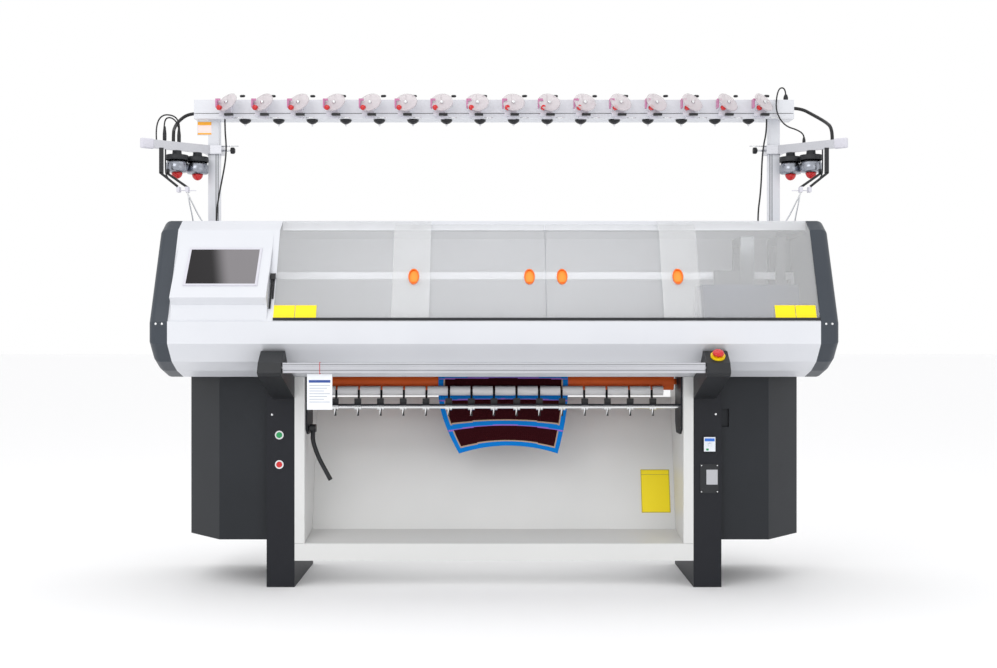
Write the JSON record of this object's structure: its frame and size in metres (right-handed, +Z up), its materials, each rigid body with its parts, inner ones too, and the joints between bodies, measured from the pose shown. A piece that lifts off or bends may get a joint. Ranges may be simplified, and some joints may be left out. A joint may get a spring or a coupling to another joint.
{
  "type": "flat knitting machine",
  "caption": "Computerised two-bed flat knitting machine with sliding doors, a parked carriage, yarn stand, side feeders and a take-down holding a strip of fabric.",
  "frame": {"origin": "middle of the footprint, on the floor", "axes": "+X along the needle beds to the machine's right, +Y to the back, +Z up"},
  "size_m": [2.8868, 0.9, 2.0383],
  "materials": {
    "anthracite_paint": "fine texture powder coat",
    "cabinet_paint": "fine texture powder coat",
    "white_paint": "satin powder coat",
    "slate_plastic": "satin paint",
    "cast_bed": "machined casting",
    "needle_steel": "ground steel",
    "bright_steel": "polished",
    "clear_acrylic": "tinted clear sheet",
    "aluminium": "anodised extrusion",
    "black_plastic": "moulded",
    "screen_glass": "glossy glass over a dark display",
    "grey_bezel": "moulded",
    "carriage_paint": "satin paint",
    "belt_rubber": "toothed belt",
    "orange_rubber": "ribbed covering",
    "white_rubber": "smooth tyre",
    "yellow_plastic": "moulded",
    "red_plastic": "moulded",
    "green_plastic": "moulded",
    "blue_white_plastic": "moulded",
    "card": "coated card on a red string",
    "knit": "knitted jacquard wool",
    "cable_jacket": "cable jacket"
  },
  "bodies": {
    "root": {"left_leg": "anthracite_paint", "right_leg": "anthracite_paint", "cabinets": "cabinet_paint", "catch_tray": "white_paint", "side_liners": "white_paint", "bed_beam": "cast_bed", "front_needle_bed": "needle_steel", "carriage_rails": "bright_steel", "end_caps": "slate_plastic", "front_cover": "white_paint", "rear_cover": "white_paint", "control_cover": "white_paint", "screen_bezel": "grey_bezel", "screen_glass": "screen_glass", "door_tracks": "black_plastic", "drive_belt": "belt_rubber", "belt_mounts": "cast_bed", "yarn_rails": "white_paint", "takedown_plates": "anthracite_paint", "start_bar_brackets": "black_plastic", "stop_ring": "yellow_plastic", "button_bezels": "bright_steel", "breaker_body": "black_plastic", "rating_plate": "black_plastic", "stylus": "black_plastic", "stand_posts": "white_paint", "stand_rail": "white_paint", "yarn_controllers": "grey_bezel", "controller_leads": "cable_jacket", "side_arms": "aluminium", "feeder_housings": "black_plastic", "knitted_fabric": "knit", "left_hose": "cable_jacket", "left_cable": "cable_jacket", "right_hose": "cable_jacket", "right_cable": "cable_jacket"},
    "outer_left_door": {"outer_left_door": "clear_acrylic"},
    "inner_left_door": {"inner_left_door": "clear_acrylic"},
    "inner_right_door": {"inner_right_door": "clear_acrylic"},
    "outer_right_door": {"outer_right_door": "clear_acrylic"},
    "rear_needle_bed": {"rear_needle_bed": "needle_steel"},
    "carriage": {"carriage": "carriage_paint"},
    "drive_pulley": {"drive_pulley": "aluminium"},
    "idler_pulley": {"idler_pulley": "aluminium"},
    "yarn_carrier_1": {"yarn_carrier_1": "black_plastic"},
    "yarn_carrier_2": {"yarn_carrier_2": "black_plastic"},
    "takedown_roller": {"takedown_roller": "orange_rubber"},
    "press_shaft": {"press_shaft": "bright_steel"},
    "press_rollers": {"press_rollers": "white_rubber"},
    "release_lever": {"release_lever": "black_plastic"},
    "start_bar": {"start_bar": "aluminium", "hanging_card": "card"},
    "stop_mushroom": {"stop_mushroom": "red_plastic"},
    "start_button": {"start_button": "green_plastic"},
    "stop_button": {"stop_button": "red_plastic"},
    "breaker_toggle": {"breaker_toggle": "blue_white_plastic"},
    "feeder_drum_1": {"feeder_drum_1": "bright_steel"},
    "feeder_drum_2": {"feeder_drum_2": "bright_steel"},
    "feeder_drum_3": {"feeder_drum_3": "bright_steel"},
    "feeder_drum_4": {"feeder_drum_4": "bright_steel"}
  },
  "joints": [
    {"name": "outer_left_door_slide", "type": "slide", "parent": "root", "child": "outer_left_door", "axis": [1, 0, 0], "range_m": [0, 0.447]},
    {"name": "inner_left_door_slide", "type": "slide", "parent": "root", "child": "inner_left_door", "axis": [1, 0, 0], "range_m": [-0.447, 0]},
    {"name": "inner_right_door_slide", "type": "slide", "parent": "root", "child": "inner_right_door", "axis": [1, 0, 0], "range_m": [0, 0.44]},
    {"name": "outer_right_door_slide", "type": "slide", "parent": "root", "child": "outer_right_door", "axis": [1, 0, 0], "range_m": [-0.44, 0]},
    {"name": "bed_racking", "type": "slide", "parent": "root", "child": "rear_needle_bed", "axis": [1, 0, 0], "range_m": [-0.0254, 0.0254]},
    {"name": "carriage_travel", "type": "slide", "parent": "root", "child": "carriage", "axis": [1, 0, 0], "range_m": [-2.02, 0]},
    {"name": "drive_pulley_spin", "type": "hinge", "parent": "root", "child": "drive_pulley", "pos_m": [1.15, 0.23, 1], "axis": [0, 0, 1], "continuous": true},
    {"name": "idler_pulley_spin", "type": "hinge", "parent": "root", "child": "idler_pulley", "pos_m": [-1.15, 0.23, 1], "axis": [0, 0, 1], "continuous": true},
    {"name": "yarn_carrier_1_travel", "type": "slide", "parent": "root", "child": "yarn_carrier_1", "axis": [1, 0, 0], "range_m": [-1.9, 0]},
    {"name": "yarn_carrier_2_travel", "type": "slide", "parent": "root", "child": "yarn_carrier_2", "axis": [1, 0, 0], "range_m": [-1.9, 0]},
    {"name": "takedown_roller_spin", "type": "hinge", "parent": "root", "child": "takedown_roller", "pos_m": [0, 0.055, 0.825], "axis": [1, 0, 0], "continuous": true},
    {"name": "press_shaft_swing", "type": "hinge", "parent": "root", "child": "press_shaft", "pos_m": [0, -0.035, 0.7245], "axis": [1, 0, 0], "range_deg": [0, 12]},
    {"name": "press_roller_spin", "type": "hinge", "parent": "press_shaft", "child": "press_rollers", "pos_m": [0, 0.007, 0.789], "axis": [1, 0, 0], "continuous": true},
    {"name": "release_lever_swing", "type": "hinge", "parent": "root", "child": "release_lever", "pos_m": [-0.744, -0.035, 0.638], "axis": [1, 0, 0], "range_deg": [-30, 0]},
    {"name": "start_bar_swing", "type": "hinge", "parent": "root", "child": "start_bar", "pos_m": [0, -0.4175, 0.8945], "axis": [1, 0, 0], "range_deg": [-20, 20], "stiffness_Nm_per_rad": 20},
    {"name": "stop_mushroom_press", "type": "slide", "parent": "root", "child": "stop_mushroom", "axis": [0, 0.5592, -0.829], "range_m": [0, 0.004], "stiffness_N_per_m": 1500},
    {"name": "start_button_press", "type": "slide", "parent": "root", "child": "start_button", "axis": [0, 1, 0], "range_m": [0, 0.003], "stiffness_N_per_m": 900},
    {"name": "stop_button_press", "type": "slide", "parent": "root", "child": "stop_button", "axis": [0, 1, 0], "range_m": [0, 0.003], "stiffness_N_per_m": 900},
    {"name": "breaker_toggle_rock", "type": "hinge", "parent": "root", "child": "breaker_toggle", "pos_m": [0.87, -0.113, 0.578], "axis": [1, 0, 0], "range_deg": [-25, 25]},
    {"name": "feeder_drum_1_spin", "type": "hinge", "parent": "root", "child": "feeder_drum_1", "pos_m": [-1.25119, 0.12684, 1.73], "axis": [0, 0, 1], "continuous": true},
    {"name": "feeder_drum_2_spin", "type": "hinge", "parent": "root", "child": "feeder_drum_2", "pos_m": [-1.32256, 0.06567, 1.73], "axis": [0, 0, 1], "continuous": true},
    {"name": "feeder_drum_3_spin", "type": "hinge", "parent": "root", "child": "feeder_drum_3", "pos_m": [1.25119, 0.12684, 1.73], "axis": [0, 0, 1], "continuous": true},
    {"name": "feeder_drum_4_spin", "type": "hinge", "parent": "root", "child": "feeder_drum_4", "pos_m": [1.32256, 0.06567, 1.73], "axis": [0, 0, 1], "continuous": true}
  ],
  "couplings": [
    {"joint": "drive_pulley_spin", "follows": "carriage_travel", "rad_per_m": 24.63},
    {"joint": "idler_pulley_spin", "follows": "carriage_travel", "rad_per_m": 24.63},
    {"joint": "press_roller_spin", "follows": "takedown_roller_spin", "ratio": -1.7949},
    {"joint": "press_shaft_swing", "follows": "release_lever_swing", "ratio": -0.4}
  ]
}
